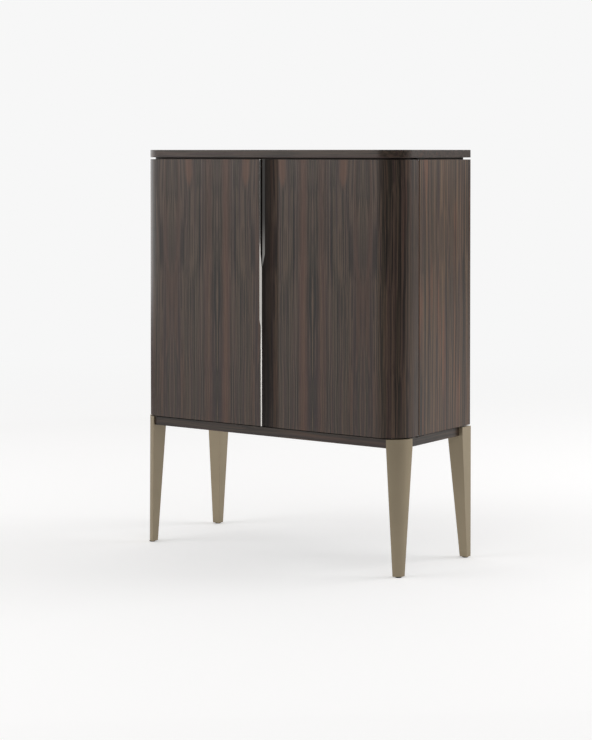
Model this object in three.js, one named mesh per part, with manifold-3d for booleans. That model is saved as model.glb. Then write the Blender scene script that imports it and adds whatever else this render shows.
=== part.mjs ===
// Bar cabinet on a tapered metal base: two doors that wrap round the front corners,
// a floating top, and a serving shelf that folds out of the right door.
// Millimetres, +Z up, the front faces -Y, origin on the floor under the middle of the plan.

import * as THREE from 'three';
import { mergeVertices } from 'three/addons/utils/BufferGeometryUtils.js';
import Module from 'manifold-3d';

const wasm = await Module();
wasm.setup();

// Overall size
const width = 1000;
const depth = 412;
const height = 1280;
const cornerRadius = 85;

// Heights that stack up from the floor
const baseHeight = 414;
const bottomGap = 4;
const topGap = 6;
const slabThickness = 24;
const slabEase = 1;

// Boards of the case
const panelThickness = 22;
const backThickness = 8;
const backSetback = 4;
const topSpacerInset = 17;
const bottomSpacerInset = 30;

// Doors
const doorThickness = 22;
const doorReturn = 22;
const seamGap = 1.2;
const doorToCase = 2;
const leftDoorEdge = 8.4;
const meetingGap = 1.3;

// Finger groove down the right door's leading edge: a facet that falls away from the edge,
// then a long soft shoulder that rises to the face
const gripRimDepth = 0.5;
const gripFacetWidth = 7.2;
const grooveDepth = 4.6;
const shoulderWidth = 53;

// Metal trims of the meeting edges: on the left a bar that widens to a plate and is cut back at
// the top, on the right a plate on the upper part of the groove's facet
const barWidth = 4.8;
const plateWidth = 9.5;
const barDepth = 6;
const plateBottomShare = 0.375;
const plateRunout = 20;
const fingerCut = 4.9;
const fingerCutShare = 0.601;
const fingerRunout = 39;
const facetPlateThickness = 4;
const facetPlateTip = 0.8;

// Knife hinges in the shadow gaps
const pivotInset = 5;
const pivotPinRadius = 2.5;
const pivotPinReach = 5;
const hingeEyeRadius = 4.5;
const hingeBarLength = 42;
const doorLeafWidth = 10;
const doorLeafThickness = 3;
const hingeArmWidth = 11;
const hingeArmThickness = 2.5;

// Base frame
const railHeight = 27;
const railThickness = 25;
const railInset = 11;
const legProud = 2;
const frontLegTopX = 55;
const frontLegTopY = 71;
const frontLegFoot = 27;
const frontLegFootInsetX = 11;
const frontLegFootInsetY = 17;
const backLegTopX = 54;
const backLegTopY = 52;
const backLegFootX = 26;
const backLegFootY = 24;
const glideRadius = 9;
const glideHeight = 3;

// Inside the case
const shelfThickness = 18;
const middleShelfShare = 0.406;
const lowerShelfShare = 0.213;
const lowerShelfSetback = 10;
const looseShelfPlay = 1.5;
const glassThickness = 8;
const glassShelfShare = 0.772;
const glassShelfDepth = 92;
const pinRadius = 2.5;
const pinLength = 18;
const pinBite = 9;
const pinEndDistance = 24;
const stemRailCount = 3;
const stemRailPitch = 110;
const stemRailEndDistance = 168;
const stemRailLength = 250;
const stemRailHeight = 23;
const stemRailWidth = 42;
const stemRailWeb = 4;
const stemRailFlange = 3;
const stemRailSetback = 14;

// Magnetic door catch
const catchLength = 66;
const catchDepth = 14;
const catchHeight = 12;
const strikeLength = 22;
const strikeThickness = 1.7;
const strikeOffset = 10;

// Fold-out shelf on the right door
const foldAxisShare = 0.584;
const foldShelfInnerInset = 45;
const foldShelfOuterInset = 20;
const foldShelfDepthShare = 0.753;
const foldShelfThickness = 16;
const foldShelfStandoff = 4;
const foldShelfLift = 1.5;
const foldEdgeThickness = 3;
const battenHeight = 58;

// Flap hinges of the fold-out shelf
const flapKnuckleRadius = 2.5;
const flapPinRadius = 1.2;
const flapLeafThickness = 1.6;
const flapLeafWidth = 50;
const flapLeafHeight = 28;
const flapKnuckleRelief = 0.5;
const flapEndDistance = 45;

// Swinging support arm under the fold-out shelf
const armPivotInset = 95;
const armEndClearance = 20;
const armThickness = 12;
const armHubRadius = 6;
const armHubHeight = 34;
const armHubDrop = 46;
const armTipHeight = 12;
const armNeck = 3;
const armStandShare = 1.2;
const armPinRadius = 3;
const armPlateThickness = 3;
const armPlateWidth = 20;
const armLugThickness = 6;
const armToShelf = 0.5;

// Catch block that holds the folded shelf
const shelfCatchWidth = 40;
const shelfCatchHeight = 14;
const shelfCatchDepth = 17;
const shelfCatchGap = 1.5;

// Fits
const fitGap = 0.3;
const slideGap = 0.4;
const overrun = 2;

// Facets
const arcSegments = 32;
const pinSegments = 20;
const legArcSteps = 16;
const shoulderSegments = 14;

// Places worked out from the sizes
const halfWidth = width / 2;
const halfDepth = depth / 2;
const caseBottom = baseHeight + bottomGap;
const caseTop = height - slabThickness - topGap;
const front = -halfDepth;
const doorBack = front + doorThickness;
const arcCentreX = halfWidth - cornerRadius;
const arcCentreY = front + cornerRadius;
const doorEnd = arcCentreY + doorReturn;
const sideFront = doorEnd + seamGap;
const pivotX = halfWidth - pivotInset;
const pivotY = doorEnd - pivotInset;
const rightDoorEdge = -leftDoorEdge + meetingGap;
const insideX = halfWidth - panelThickness;
const backFront = halfDepth - backSetback - backThickness;
const floorTop = caseBottom + panelThickness;
const ceiling = caseTop - panelThickness;
const insideHeight = ceiling - floorTop;
const doorHeight = caseTop - caseBottom;

// Finishes
const veneer = { color: 0x4b423b, roughness: 0.42, metalness: 0 };
const insideWood = { color: 0x5d5046, roughness: 0.55, metalness: 0 };
const bronze = { color: 0x8c7e68, roughness: 0.35, metalness: 0.6 };
const polished = { color: 0xc9c4bb, roughness: 0.15, metalness: 1 };
const steel = { color: 0x8f9194, roughness: 0.3, metalness: 0.9 };
const glass = { color: 0xb9c8c6, roughness: 0.05, metalness: 0, transparent: true, opacity: 0.35 };
const felt = { color: 0x2b2826, roughness: 0.95, metalness: 0 };

// Turns a closed geometry into a solid for cutting and joining.
function solidOf(geometry) {
  const bare = geometry.clone();
  bare.deleteAttribute('normal');
  bare.deleteAttribute('uv');
  const merged = mergeVertices(bare);
  return new wasm.Manifold(new wasm.Mesh({
    numProp: 3,
    vertProperties: Float32Array.from(merged.attributes.position.array),
    triVerts: Uint32Array.from(merged.index.array),
  }));
}

// Turns a solid back into a geometry.
function geometryOf(solid) {
  const mesh = solid.getMesh();
  const geometry = new THREE.BufferGeometry();
  geometry.setAttribute('position', new THREE.BufferAttribute(mesh.vertProperties, 3));
  geometry.setIndex(new THREE.BufferAttribute(mesh.triVerts, 1));
  geometry.computeVertexNormals();
  return geometry;
}

// Cuts every tool geometry out of a body geometry.
function cut(body, tools) {
  let solid = solidOf(body);
  for (const tool of tools) {
    solid = solid.subtract(solidOf(tool));
  }
  return geometryOf(solid);
}

// Joins geometries that overlap into one body.
function join(parts) {
  let solid = solidOf(parts[0]);
  for (const part of parts.slice(1)) {
    solid = solid.add(solidOf(part));
  }
  return geometryOf(solid);
}

// A block between two corners.
function block(low, high) {
  const size = high.map((value, axis) => value - low[axis]);
  const geometry = new THREE.BoxGeometry(...size);
  geometry.translate(...low.map((value, axis) => value + size[axis] / 2));
  return geometry;
}

// A round bar along Z.
function barZ(radius, x, y, bottom, top) {
  const geometry = new THREE.CylinderGeometry(radius, radius, top - bottom, pinSegments);
  geometry.rotateX(Math.PI / 2);
  geometry.translate(x, y, (bottom + top) / 2);
  return geometry;
}

// A round bar along X.
function barX(radius, y, z, left, right) {
  const geometry = new THREE.CylinderGeometry(radius, radius, right - left, pinSegments);
  geometry.rotateZ(Math.PI / 2);
  geometry.translate((left + right) / 2, y, z);
  return geometry;
}

// A plan shape raised from one height to another.
function raise(shape, bottom, top, segments = arcSegments) {
  const geometry = new THREE.ExtrudeGeometry(shape, {
    depth: top - bottom,
    bevelEnabled: false,
    curveSegments: segments,
  });
  geometry.translate(0, 0, bottom);
  return geometry;
}

// A plan shape drawn for the right-hand side, turned over for the left when side is -1.
function onSide(shape, side, segments = arcSegments) {
  const flip = (path) => {
    const points = path.getPoints(segments).map(({ x, y }) => new THREE.Vector2(side * x, y));
    return side > 0 ? points : points.reverse();
  };
  const flipped = new THREE.Shape(flip(shape));
  flipped.holes = shape.holes.map((hole) => new THREE.Path(flip(hole)));
  return flipped;
}

// A closed body through rings of points that all have the same count.
function loft(rings) {
  const count = rings[0].length;
  const last = rings.length - 1;
  const index = [];
  for (let ring = 0; ring < last; ring += 1) {
    for (let k = 0; k < count; k += 1) {
      const next = (k + 1) % count;
      const a = ring * count + k;
      const b = ring * count + next;
      index.push(a, b, b + count, a, b + count, a + count);
    }
  }
  for (let k = 1; k < count - 1; k += 1) {
    index.push(0, k + 1, k);
    index.push(last * count, last * count + k, last * count + k + 1);
  }
  const geometry = new THREE.BufferGeometry();
  const position = new THREE.Float32BufferAttribute(rings.flat(2), 3);
  geometry.setAttribute('position', position);
  geometry.setIndex(index);
  geometry.computeVertexNormals();
  return geometry;
}

// The same loft with its faces turned over where its rings run clockwise.
function loftOnSide(rings, side) {
  return loft(side > 0 ? rings : rings.map((ring) => [...ring].reverse()));
}

const cabinet = new THREE.Group();

// Adds a named sub-part to a group.
function add(group, name, geometry, finish) {
  const mesh = new THREE.Mesh(geometry, new THREE.MeshStandardMaterial(finish));
  mesh.name = name;
  group.add(mesh);
  return mesh;
}

const sides = [['left', -1], ['right', 1]];

// Plan of the cabinet with rounded front corners, drawn in by an inset on every side.
function planShape(inset) {
  const x = halfWidth - inset;
  const y = halfDepth - inset;
  const radius = cornerRadius - inset;
  const shape = new THREE.Shape();
  shape.moveTo(-x, y);
  shape.lineTo(-x, arcCentreY);
  shape.absarc(-arcCentreX, arcCentreY, radius, Math.PI, 1.5 * Math.PI);
  shape.lineTo(arcCentreX, -y);
  shape.absarc(arcCentreX, arcCentreY, radius, 1.5 * Math.PI, 2 * Math.PI);
  shape.lineTo(x, y);
  return shape;
}

// Base frame: four tapered metal legs joined by four wooden rails
const base = new THREE.Group();
cabinet.add(base);

// Section of a front leg: two straight inner faces and an outer arc that follows the corner.
function frontLegRing(side, reachX, reachY, radius, insetX, insetY, z) {
  const cornerX = halfWidth - insetX;
  const cornerY = front + insetY;
  const start = Math.asin(Math.max(0, 1 - reachX / radius));
  const end = Math.acos(Math.max(0, 1 - reachY / radius));
  const ring = [[side * (cornerX - reachX), cornerY + reachY, z]];
  for (let step = 0; step <= legArcSteps; step += 1) {
    const turn = start + ((end - start) * step) / legArcSteps;
    const x = cornerX - radius + radius * Math.sin(turn);
    const y = cornerY + radius - radius * Math.cos(turn);
    ring.push([side * x, y, z]);
  }
  return ring;
}

const legOuterX = halfWidth + legProud;
const legOuterY = halfDepth + legProud;

// Section of a back leg: a plain rectangle in the back corner.
function backLegRing(side, reachX, reachY, z) {
  return [
    [side * legOuterX, legOuterY, z],
    [side * (legOuterX - reachX), legOuterY, z],
    [side * (legOuterX - reachX), legOuterY - reachY, z],
    [side * legOuterX, legOuterY - reachY, z],
  ];
}

const railBottom = baseHeight - railHeight;

for (const [word, side] of sides) {
  const footX = [frontLegFoot, frontLegFoot, frontLegFoot];
  const footInset = [frontLegFootInsetX, frontLegFootInsetY];
  const legTop = [frontLegTopX, frontLegTopY, cornerRadius + legProud, -legProud, -legProud];
  add(base, `front_${word}_leg`, loftOnSide([
    frontLegRing(side, ...footX, ...footInset, glideHeight),
    frontLegRing(side, ...legTop, railBottom),
    frontLegRing(side, ...legTop, baseHeight),
  ], side), bronze);
  add(base, `back_${word}_leg`, loftOnSide([
    backLegRing(side, backLegFootX, backLegFootY, glideHeight),
    backLegRing(side, backLegTopX, backLegTopY, railBottom),
    backLegRing(side, backLegTopX, backLegTopY, baseHeight),
  ], side), bronze);

  const glideX = side * (halfWidth - frontLegFootInsetX - frontLegFoot / 2);
  const glideY = front + frontLegFootInsetY + frontLegFoot / 2;
  const frontGlide = barZ(glideRadius, glideX, glideY, 0, glideHeight);
  add(base, `front_${word}_glide`, frontGlide, felt);
  const backGlideX = side * (legOuterX - backLegFootX / 2);
  const backGlide = barZ(glideRadius, backGlideX, legOuterY - backLegFootY / 2, 0, glideHeight);
  add(base, `back_${word}_glide`, backGlide, felt);

  const railOuter = halfWidth - railInset;
  const railEdges = [side * railOuter, side * (railOuter - railThickness)];
  const sideRail = block(
    [Math.min(...railEdges), front - legProud + frontLegTopY, railBottom],
    [Math.max(...railEdges), legOuterY - backLegTopY, baseHeight],
  );
  add(base, `${word}_rail`, sideRail, veneer);
}

const railEndX = legOuterX - frontLegTopX;
add(base, 'front_rail', block(
  [-railEndX, front + railInset, railBottom],
  [railEndX, front + railInset + railThickness, baseHeight],
), veneer);
const backRailEndX = legOuterX - backLegTopX;
add(base, 'back_rail', block(
  [-backRailEndX, halfDepth - railInset - railThickness, railBottom],
  [backRailEndX, halfDepth - railInset, baseHeight],
), veneer);

// Case: the spacer boards that make the shadow gaps, and the boards of the box
const carcass = new THREE.Group();
cabinet.add(carcass);

add(carcass, 'bottom_spacer', raise(planShape(bottomSpacerInset), baseHeight, caseBottom), felt);
add(carcass, 'top_spacer', raise(planShape(topSpacerInset), caseTop, caseTop + topGap), felt);

const slabGeometry = new THREE.ExtrudeGeometry(planShape(slabEase), {
  depth: slabThickness - 2 * slabEase,
  bevelSize: slabEase,
  bevelThickness: slabEase,
  bevelSegments: 2,
  curveSegments: arcSegments,
});
slabGeometry.translate(0, 0, height - slabThickness + slabEase);
add(carcass, 'top_slab', slabGeometry, veneer);

// Plan of the top and bottom boards: rounded behind the doors, then between the sides.
function caseBoardShape() {
  const inset = doorThickness + doorToCase;
  const x = halfWidth - inset;
  const radius = cornerRadius - inset;
  const shape = new THREE.Shape();
  shape.moveTo(-insideX, halfDepth);
  shape.lineTo(-insideX, sideFront);
  shape.lineTo(-x, sideFront);
  shape.lineTo(-x, arcCentreY);
  shape.absarc(-arcCentreX, arcCentreY, radius, Math.PI, 1.5 * Math.PI);
  shape.lineTo(arcCentreX, front + inset);
  shape.absarc(arcCentreX, arcCentreY, radius, 1.5 * Math.PI, 2 * Math.PI);
  shape.lineTo(x, sideFront);
  shape.lineTo(insideX, sideFront);
  shape.lineTo(insideX, halfDepth);
  return shape;
}

add(carcass, 'case_bottom', raise(caseBoardShape(), caseBottom, floorTop), veneer);
add(carcass, 'case_top', raise(caseBoardShape(), ceiling, caseTop), veneer);
add(carcass, 'case_back', block(
  [-insideX, backFront, floorTop],
  [insideX, halfDepth - backSetback, ceiling],
), insideWood);

// Shelf pins: their places along the sides, one pair for each loose shelf
const lowerShelfTop = floorTop + lowerShelfShare * insideHeight;
const middleShelfTop = floorTop + middleShelfShare * insideHeight;
const glassShelfTop = floorTop + glassShelfShare * insideHeight;
const lowerShelfFront = sideFront + lowerShelfSetback;
const glassShelfFront = backFront - glassShelfDepth;
const looseShelves = [
  { name: 'lower_shelf', front: lowerShelfFront, top: lowerShelfTop, thickness: shelfThickness },
  { name: 'glass_shelf', front: glassShelfFront, top: glassShelfTop, thickness: glassThickness },
];

function pinPlaces(shelf) {
  const z = shelf.top - shelf.thickness - pinRadius;
  return [
    { end: 'front', y: shelf.front + pinEndDistance, z },
    { end: 'back', y: backFront - pinEndDistance, z },
  ];
}

for (const [word, side] of sides) {
  const edges = [side * insideX, side * halfWidth];
  const board = block(
    [Math.min(...edges), sideFront, caseBottom],
    [Math.max(...edges), halfDepth, caseTop],
  );
  const holes = [];
  for (const shelf of looseShelves) {
    for (const place of pinPlaces(shelf)) {
      const ends = [side * (insideX + pinBite), side * (insideX - pinLength + pinBite)];
      const [left, right] = [Math.min(...ends), Math.max(...ends)];
      const pin = barX(pinRadius, place.y, place.z, left, right);
      add(carcass, `${shelf.name}_pin_${place.end}_${word}`, pin, steel);
      const deep = barX(pinRadius + fitGap, place.y, place.z, left - fitGap, right + fitGap);
      holes.push(deep);
    }
  }
  add(carcass, `case_${word}_side`, cut(board, holes), veneer);
}

// Shelves: one fixed board, one loose board and a narrow loose glass at the back
add(carcass, 'middle_shelf', block(
  [-insideX, sideFront, middleShelfTop - shelfThickness],
  [insideX, backFront, middleShelfTop],
), insideWood);

for (const shelf of looseShelves) {
  const reach = insideX - looseShelfPlay;
  add(carcass, shelf.name, block(
    [-reach, shelf.front, shelf.top - shelf.thickness],
    [reach, backFront - looseShelfPlay, shelf.top],
  ), shelf.thickness === glassThickness ? glass : insideWood);
}

// Stemware rails: T-shaped bars under the top board that hold glasses by the foot
for (let k = 0; k < stemRailCount; k += 1) {
  const x = k * stemRailPitch + stemRailEndDistance - insideX;
  const low = ceiling - stemRailHeight;
  const outline = [
    [-stemRailWidth / 2, low],
    [stemRailWidth / 2, low],
    [stemRailWidth / 2, low + stemRailFlange],
    [stemRailWeb / 2, low + stemRailFlange],
    [stemRailWeb / 2, ceiling],
    [-stemRailWeb / 2, ceiling],
    [-stemRailWeb / 2, low + stemRailFlange],
    [-stemRailWidth / 2, low + stemRailFlange],
  ];
  const section = new THREE.Shape(outline.map(([u, v]) => new THREE.Vector2(u, v)));
  const rail = raise(section, 0, stemRailLength);
  rail.rotateX(Math.PI / 2);
  rail.translate(x, backFront - stemRailSetback, 0);
  add(carcass, `stemware_rail_${k + 1}`, rail, bronze);
}

// Magnetic catch behind the meeting line of the doors
const meetingX = (rightDoorEdge - leftDoorEdge) / 2;
const catchFront = doorBack + doorToCase;
add(carcass, 'door_catch', block(
  [meetingX - catchLength / 2, catchFront, ceiling - catchHeight],
  [meetingX + catchLength / 2, catchFront + catchDepth, ceiling],
), steel);

// Plan of a door, drawn for the right: flat front, round corner, short return on the side.
function doorShape(edge) {
  const shape = new THREE.Shape();
  shape.moveTo(edge, front);
  shape.lineTo(arcCentreX, front);
  shape.absarc(arcCentreX, arcCentreY, cornerRadius, -Math.PI / 2, 0);
  shape.lineTo(halfWidth, pivotY);
  shape.absarc(pivotX, pivotY, pivotInset, 0, Math.PI / 2);
  shape.lineTo(halfWidth - doorThickness, doorEnd);
  shape.lineTo(halfWidth - doorThickness, arcCentreY);
  shape.absarc(arcCentreX, arcCentreY, cornerRadius - doorThickness, 0, -Math.PI / 2, true);
  shape.lineTo(edge, doorBack);
  return shape;
}

// Plan of the hinge leaf let into the door: a bar ahead of the pin with a round eye.
function doorLeafShape(grow, eyeRadius) {
  const inner = pivotX - doorLeafWidth - grow;
  const ahead = pivotY - hingeBarLength - grow;
  const shape = new THREE.Shape();
  shape.moveTo(inner, ahead);
  shape.lineTo(pivotX + grow, ahead);
  shape.lineTo(pivotX + grow, pivotY - eyeRadius);
  shape.absarc(pivotX, pivotY, eyeRadius, -Math.PI / 2, Math.PI);
  shape.lineTo(inner, pivotY + grow);
  return shape;
}

// Plan of the hinge arm on the case: a bar behind the pin with a round eye.
function hingeArmShape() {
  const inner = pivotX - hingeArmWidth;
  const shape = new THREE.Shape();
  shape.moveTo(pivotX, pivotY + hingeBarLength);
  shape.lineTo(inner, pivotY + hingeBarLength);
  shape.lineTo(inner, pivotY);
  shape.lineTo(pivotX - hingeEyeRadius, pivotY);
  shape.absarc(pivotX, pivotY, hingeEyeRadius, Math.PI, 2.5 * Math.PI);
  return shape;
}

// Body along a leading edge: one side stands at near, the other at the reach of each level.
function edgeBody(side, near, levels, frontY, backY) {
  return loftOnSide(levels.map(([z, far]) => [
    [side * near, frontY, z],
    [side * far, frontY, z],
    [side * far, backY, z],
    [side * near, backY, z],
  ]), side);
}

const plateBottom = caseBottom + plateBottomShare * doorHeight;
const fingerBottom = caseBottom + fingerCutShare * doorHeight;
const fingerFull = fingerBottom + fingerRunout;

// Left trim before its finger cut: a full-height bar along the edge that widens to a plate.
function leftTrimBlank(grow) {
  const barFar = leftDoorEdge + barWidth + grow;
  const plateFar = leftDoorEdge + plateWidth + grow;
  return edgeBody(-1, leftDoorEdge - grow, [
    [caseBottom - grow, barFar],
    [plateBottom - grow, barFar],
    [plateBottom + plateRunout, plateFar],
    [caseTop + grow, plateFar],
  ], front - grow, front + barDepth + grow);
}

// Right trim before the groove is cut: a block behind the facet that tapers to a tip.
function rightTrimBlank(grow) {
  const tip = rightDoorEdge + facetPlateTip + grow;
  const facetEnd = rightDoorEdge + gripFacetWidth + grow;
  return edgeBody(1, rightDoorEdge - grow, [
    [fingerBottom - facetPlateTip - grow, tip],
    [fingerBottom, tip],
    [fingerFull, facetEnd],
    [caseTop + grow, facetEnd],
  ], front - grow, front + grooveDepth + facetPlateThickness + grow);
}

// Cut that widens the gap at the top of the left door's edge and its trim.
const fingerCutBody = edgeBody(-1, leftDoorEdge - overrun, [
  [fingerBottom - (overrun * fingerRunout) / fingerCut, leftDoorEdge - overrun],
  [fingerFull, leftDoorEdge + fingerCut],
  [caseTop + overrun, leftDoorEdge + fingerCut],
].map(([z, far]) => [z, Math.max(far, leftDoorEdge - overrun / 2)]), front - overrun, doorBack + overrun);

// Plan of the finger groove: the facet from the edge to the floor, then an arc that meets the face.
function grooveShape() {
  const near = rightDoorEdge - overrun;
  const facetSlope = (grooveDepth - gripRimDepth) / gripFacetWidth;
  const shoulderEnd = rightDoorEdge + gripFacetWidth + shoulderWidth;
  const radius = (shoulderWidth ** 2 + grooveDepth ** 2) / (2 * grooveDepth);
  const sweep = Math.asin(shoulderWidth / radius);
  const shape = new THREE.Shape();
  shape.moveTo(near, front - overrun);
  shape.lineTo(shoulderEnd, front - overrun);
  shape.absarc(shoulderEnd, front + radius, radius, -Math.PI / 2, -Math.PI / 2 - sweep, true);
  shape.lineTo(near, front + gripRimDepth - overrun * facetSlope);
  return shape;
}

const grooveBody = raise(
  grooveShape(), caseBottom - overrun, caseTop + overrun, shoulderSegments,
);

const doorTrims = {
  left: { edge: leftDoorEdge, blank: leftTrimBlank, tool: fingerCutBody },
  right: { edge: rightDoorEdge, blank: rightTrimBlank, tool: grooveBody },
};

for (const [word, side] of sides) {
  const { edge, blank, tool } = doorTrims[word];
  const door = new THREE.Group();
  cabinet.add(door);

  add(door, `${word}_door_trim`, cut(blank(0), [tool]), polished);

  // Knife hinges: an arm with a pin on the case and an eyed leaf in the door, top and bottom
  const ends = [
    { end: 'upper', level: caseTop, armFace: caseTop + topGap, up: 1 },
    { end: 'lower', level: caseBottom, armFace: baseHeight, up: -1 },
  ];
  const pockets = [tool, blank(fitGap)];
  for (const { end, level, armFace, up } of ends) {
    const armEdges = [armFace, armFace - up * hingeArmThickness];
    const pinEnd = level - up * (doorLeafThickness + pivotPinReach);
    const pinEdges = [armFace - (up * hingeArmThickness) / 2, pinEnd];
    const arm = raise(onSide(hingeArmShape(), side), Math.min(...armEdges), Math.max(...armEdges));
    const pivotPin = barZ(
      pivotPinRadius, side * pivotX, pivotY, Math.min(...pinEdges), Math.max(...pinEdges),
    );
    add(carcass, `${end}_${word}_hinge_arm`, join([arm, pivotPin]), steel);

    const leafEdges = [level, level - up * doorLeafThickness];
    const leafShape = doorLeafShape(0, hingeEyeRadius);
    const eye = new THREE.Path();
    eye.absarc(pivotX, pivotY, pivotPinRadius + fitGap, 0, 2 * Math.PI);
    leafShape.holes.push(eye);
    const leaf = raise(onSide(leafShape, side), Math.min(...leafEdges), Math.max(...leafEdges));
    add(door, `${end}_${word}_hinge_leaf`, leaf, steel);

    const pocketEdges = [level + up * overrun, level - up * (doorLeafThickness + fitGap)];
    const pocketShape = onSide(doorLeafShape(fitGap, pivotInset + fitGap), side);
    pockets.push(raise(pocketShape, Math.min(...pocketEdges), Math.max(...pocketEdges)));
    const boreEdges = [level + up * overrun, pinEnd - up * fitGap];
    pockets.push(barZ(
      pivotPinRadius + fitGap, side * pivotX, pivotY, Math.min(...boreEdges), Math.max(...boreEdges),
    ));
  }
  const panel = raise(onSide(doorShape(edge), side), caseBottom, caseTop);
  add(door, `${word}_door`, cut(panel, pockets), veneer);

  // Steel strike that the catch holds
  const strikeStart = edge + strikeOffset;
  const strikeEdges = [side * strikeStart, side * (strikeStart + strikeLength)];
  add(door, `${word}_door_strike`, block(
    [Math.min(...strikeEdges), doorBack, ceiling - catchHeight],
    [Math.max(...strikeEdges), doorBack + strikeThickness, ceiling],
  ), steel);
}

// Fold-out shelf, folded up against the inside of the right door
const fold = new THREE.Group();
cabinet.add(fold);

const foldAxisHeight = floorTop + foldAxisShare * insideHeight;
const foldShelfInnerX = rightDoorEdge + foldShelfInnerInset;
const foldShelfOuterX = arcCentreX - foldShelfOuterInset;
const foldShelfDepth = foldShelfDepthShare * (ceiling - foldAxisHeight);
const foldFace = doorBack + foldShelfStandoff + foldShelfThickness;
const foldAxisY = foldFace + flapKnuckleRadius;
const boardBottom = foldAxisHeight + foldShelfLift;
const boardTop = boardBottom + foldShelfDepth;
const battenTop = foldAxisHeight - foldShelfLift;

add(fold, 'fold_batten', block(
  [foldShelfInnerX, doorBack, battenTop - battenHeight],
  [foldShelfOuterX, foldFace, battenTop],
), insideWood);
add(fold, 'fold_shelf', block(
  [foldShelfInnerX, doorBack + foldShelfStandoff, boardBottom],
  [foldShelfOuterX, foldFace, boardTop],
), insideWood);
add(fold, 'fold_shelf_edge', block(
  [foldShelfInnerX, doorBack + foldShelfStandoff, boardTop],
  [foldShelfOuterX, foldFace, boardTop + foldEdgeThickness],
), bronze);

// Flap hinges: outer knuckles and pin on the fixed leaf, middle knuckle on the moving leaf
const flapCentres = [
  ['inner', foldShelfInnerX + flapEndDistance],
  ['outer', foldShelfOuterX - flapEndDistance],
];
for (const [word, centre] of flapCentres) {
  const left = centre - flapLeafWidth / 2;
  const right = centre + flapLeafWidth / 2;
  const third = flapLeafWidth / 3;
  const relief = flapKnuckleRadius + flapKnuckleRelief;
  const leafBack = foldFace + flapLeafThickness;
  const fixed = [
    block([left, foldFace, battenTop - flapLeafHeight], [right, leafBack, foldAxisHeight - relief]),
    barX(flapPinRadius, foldAxisY, foldAxisHeight, left, right),
  ];
  for (const start of [left, right - third + slideGap]) {
    const end = start + third - slideGap;
    fixed.push(block([start, foldFace, foldAxisHeight - 2 * relief], [end, leafBack, foldAxisHeight]));
    fixed.push(barX(flapKnuckleRadius, foldAxisY, foldAxisHeight, start, end));
  }
  add(fold, `${word}_flap_fixed_leaf`, join(fixed), steel);

  const [inner, outer] = [left + third, right - third];
  const moving = join([
    block([left, foldFace, foldAxisHeight + relief], [right, leafBack, boardBottom + flapLeafHeight]),
    block([inner, foldFace, foldAxisHeight], [outer, leafBack, foldAxisHeight + 2 * relief]),
    barX(flapKnuckleRadius, foldAxisY, foldAxisHeight, inner, outer),
  ]);
  const bore = barX(
    flapPinRadius + fitGap, foldAxisY, foldAxisHeight, inner - overrun, outer + overrun,
  );
  add(fold, `${word}_flap_moving_leaf`, cut(moving, [bore]), steel);
}

// Support arm: a knee-shaped bracket on a vertical pin between two lugs
const armPivotX = foldShelfOuterX - armPivotInset;
const innerFlapEnd = foldShelfInnerX + flapEndDistance + flapLeafWidth / 2;
const armLength = armPivotX - innerFlapEnd - armEndClearance;
const armAxisY = foldFace + armPlateThickness + armStandShare * armHubRadius;
const armTop = foldAxisHeight + flapKnuckleRadius - armToShelf;
const hubTop = armTop - armHubDrop + armHubHeight;
const hubBottom = armTop - armHubDrop;
const lugTop = hubTop + slideGap + armLugThickness;
const lugBottom = hubBottom - slideGap - armLugThickness;

const armReach = armHubRadius + armNeck;
const armOutline = new THREE.Shape();
armOutline.moveTo(0, hubBottom);
armOutline.lineTo(0, hubTop);
armOutline.lineTo(-armReach, hubTop);
armOutline.lineTo(-armReach, armTop);
armOutline.lineTo(-armLength, armTop);
armOutline.lineTo(-armLength, armTop - armTipHeight);
armOutline.quadraticCurveTo(-armLength / 2, hubBottom, -armReach, hubBottom);
const armBlade = raise(armOutline, 0, armThickness);
armBlade.rotateX(Math.PI / 2);
armBlade.translate(armPivotX, armAxisY + armThickness / 2, 0);
const armHub = barZ(armHubRadius, armPivotX, armAxisY, hubBottom, hubTop);
const armBore = barZ(
  armPinRadius + fitGap, armPivotX, armAxisY, hubBottom - overrun, hubTop + overrun,
);
add(fold, 'support_arm', cut(join([armBlade, armHub]), [armBore]), bronze);

const lugs = [
  block(
    [armPivotX - armPlateWidth / 2, foldFace, lugBottom],
    [armPivotX + armPlateWidth / 2, foldFace + armPlateThickness, lugTop],
  ),
  barZ(armPinRadius, armPivotX, armAxisY, lugBottom + overrun, lugTop - overrun),
];
for (const [low, high] of [[lugBottom, lugBottom + armLugThickness], [hubTop + slideGap, lugTop]]) {
  lugs.push(barZ(armHubRadius, armPivotX, armAxisY, low, high));
  lugs.push(block(
    [armPivotX - armHubRadius, foldFace, low],
    [armPivotX + armHubRadius, armAxisY, high],
  ));
}
add(fold, 'support_arm_mount', join(lugs), steel);

// Catch block above the folded shelf
const shelfCatchX = (foldShelfInnerX + foldShelfOuterX) / 2;
const shelfCatchBottom = boardTop + foldEdgeThickness + shelfCatchGap;
add(fold, 'shelf_catch', block(
  [shelfCatchX - shelfCatchWidth / 2, doorBack, shelfCatchBottom],
  [shelfCatchX + shelfCatchWidth / 2, doorBack + shelfCatchDepth, shelfCatchBottom + shelfCatchHeight],
), steel);

export default cabinet;
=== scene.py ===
"""Dresses a packed bar cabinet for a studio picture: dark veneer, bronze legs, polished door trims."""
import math

import bpy
from mathutils import Matrix, Vector


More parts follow.
